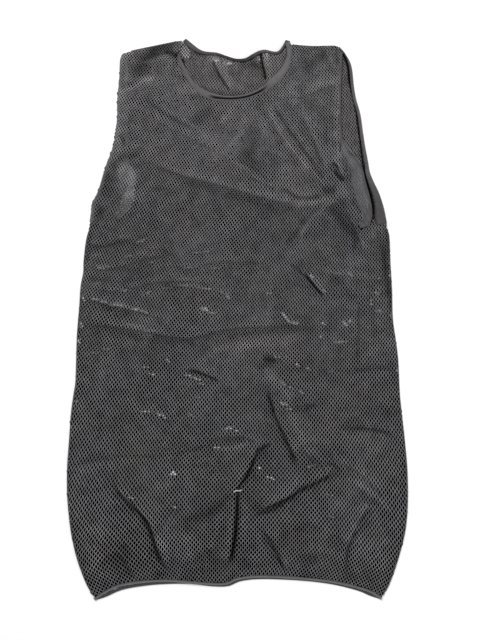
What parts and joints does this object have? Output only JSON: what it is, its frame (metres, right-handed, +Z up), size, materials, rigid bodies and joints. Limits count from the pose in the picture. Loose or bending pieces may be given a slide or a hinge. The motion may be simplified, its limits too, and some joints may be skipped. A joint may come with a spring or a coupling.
{
  "type": "mesh knit sleeveless top",
  "caption": "Sleeveless open-mesh knit top laid flat, with smooth knitted bindings at neck, armholes and hem and overlocked shoulder and side seams.",
  "frame": {"origin": "centre of the bounding box, on the surface the top lies on", "axes": "+Y from the hem to the neck, +Z up out of the surface, +X towards the viewer's right"},
  "size_m": [0.5124, 0.843, 0.0118],
  "materials": {
    "mesh_knit": "matt charcoal open-mesh knit",
    "binding_knit": "matt charcoal fine plain knit",
    "seam_thread": "matt charcoal sewing thread",
    "pale_yarn": "pale loose yarn end"
  },
  "bodies": {
    "root": {"back_panel": "mesh_knit", "front_panel": "mesh_knit", "neck_binding_front": "binding_knit", "neck_binding_back": "binding_knit", "armhole_binding_left_front": "binding_knit", "armhole_binding_left_back": "binding_knit", "armhole_binding_right_front": "binding_knit", "armhole_binding_right_back": "binding_knit", "hem_binding_front": "binding_knit", "hem_binding_back": "binding_knit", "shoulder_seam_left": "seam_thread", "shoulder_seam_right": "seam_thread", "side_seam_left": "seam_thread", "side_seam_right": "seam_thread", "neck_stitch_front": "seam_thread", "neck_stitch_back": "seam_thread", "armhole_stitch_left_front": "seam_thread", "armhole_stitch_left_back": "seam_thread", "armhole_stitch_right_front": "seam_thread", "armhole_stitch_right_back": "seam_thread", "hem_stitch_front": "seam_thread", "hem_stitch_back": "seam_thread", "loose_yarn_end": "pale_yarn"}
  },
  "joints": []
}
